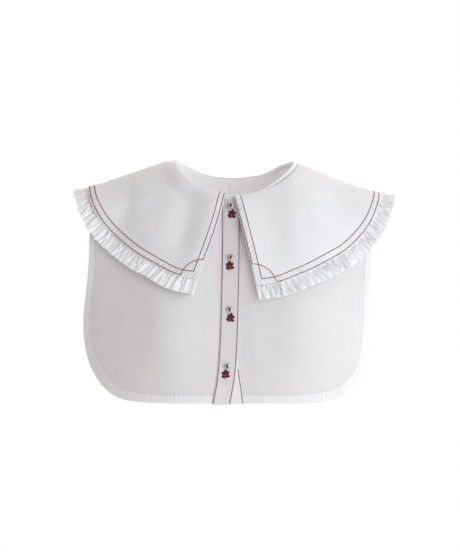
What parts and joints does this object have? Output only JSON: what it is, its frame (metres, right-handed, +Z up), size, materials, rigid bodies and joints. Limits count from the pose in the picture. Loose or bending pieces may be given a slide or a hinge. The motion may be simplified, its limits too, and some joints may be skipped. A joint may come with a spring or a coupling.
{
  "type": "detachable frilled collar, worn form with no wearer",
  "caption": "White cotton detachable collar with a wide pointed collar, gathered frill, burgundy top-stitching and a short buttoned bib, open at the sides",
  "frame": {"origin": "middle of the neck opening, on the shoulder line and level with the sides of the neck, where the wearer's shoulders hold the garment", "axes": "+X toward the wearer's left, +Y toward the wearer's back, +Z up"},
  "size_m": [0.4279, 0.2113, 0.325],
  "materials": {
    "cotton_poplin": "matte plain-woven white cotton",
    "shell_button": "glossy pearly white"
  },
  "bodies": {
    "root": {"front_right": "cotton_poplin", "front_left": "cotton_poplin", "placket_top": "cotton_poplin", "placket_under": "cotton_poplin", "back_right": "cotton_poplin", "back_left": "cotton_poplin", "neck_band": "cotton_poplin", "collar_right": "cotton_poplin", "collar_left": "cotton_poplin", "frill_right": "cotton_poplin", "frill_left": "cotton_poplin", "button_1": "shell_button", "button_2": "shell_button", "button_3": "shell_button", "button_4": "shell_button"}
  },
  "joints": []
}
